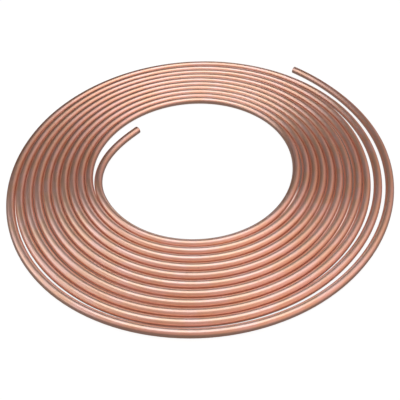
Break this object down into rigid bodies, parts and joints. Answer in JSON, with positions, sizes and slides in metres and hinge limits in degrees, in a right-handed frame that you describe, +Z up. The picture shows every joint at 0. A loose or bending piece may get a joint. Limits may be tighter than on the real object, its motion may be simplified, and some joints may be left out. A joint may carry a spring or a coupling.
{
  "type": "copper tube coil",
  "caption": "Soft copper tube wound in one flat spiral layer round an open eye, both ends cut square, open and free.",
  "frame": {"origin": "middle of the coil's footprint, on the floor it lies on", "axes": "+Z up along the coil's axis, +X to the coil's right and +Y to its back as it lies with its outer end at the back right"},
  "size_m": [0.3904, 0.3848, 0.008],
  "materials": {
    "copper": "bright drawn copper, satin"
  },
  "bodies": {
    "root": {"copper_tube": "copper"}
  },
  "joints": []
}
